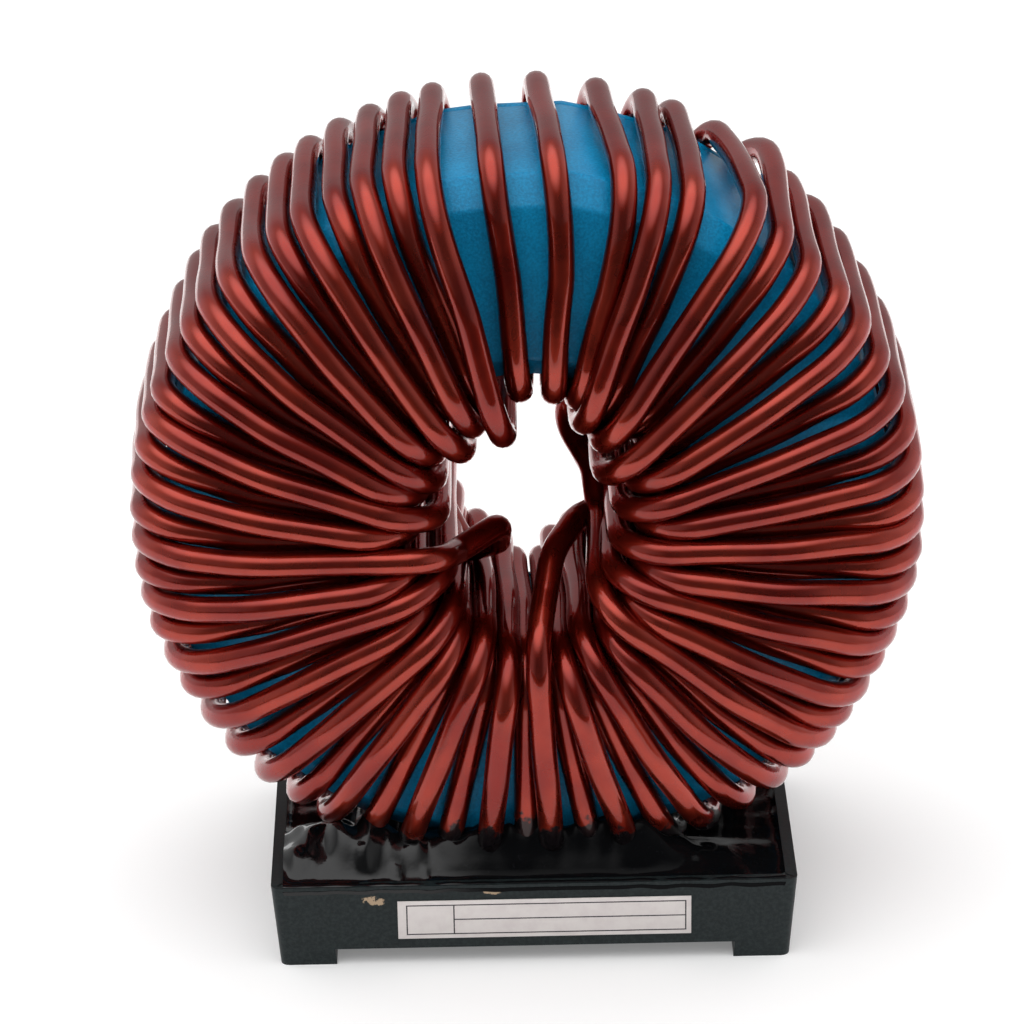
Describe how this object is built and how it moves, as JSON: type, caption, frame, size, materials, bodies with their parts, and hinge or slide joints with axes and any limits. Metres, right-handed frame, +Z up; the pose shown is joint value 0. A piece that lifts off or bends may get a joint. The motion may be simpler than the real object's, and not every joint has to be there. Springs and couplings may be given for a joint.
{
  "type": "power factor correction inductor",
  "caption": "Toroidal choke: heavy enamelled wire wound on a cased ring core that stands upright in a shallow potted plastic tray with corner feet.",
  "frame": {"origin": "on the feet plane under the middle of the ring", "axes": "+Z up, ring axis along Y with the label side towards -Y, +X to the right seen from the label side"},
  "size_m": [0.065, 0.0336, 0.0693],
  "materials": {
    "tray_plastic": "black moulded plastic, satin",
    "potting_resin": "glossy black potting resin",
    "case_plastic": "matte grained blue plastic",
    "core_powder": "pressed metal powder",
    "enamelled_wire": "copper wire under glossy red-brown enamel",
    "label_paper": "satin paper sticker with ruled lines"
  },
  "bodies": {
    "root": {"base_tray": "tray_plastic", "potting": "potting_resin", "core_case_cup": "case_plastic", "core_case_lid": "case_plastic", "core_ring": "core_powder", "winding": "enamelled_wire", "label": "label_paper"}
  },
  "joints": []
}
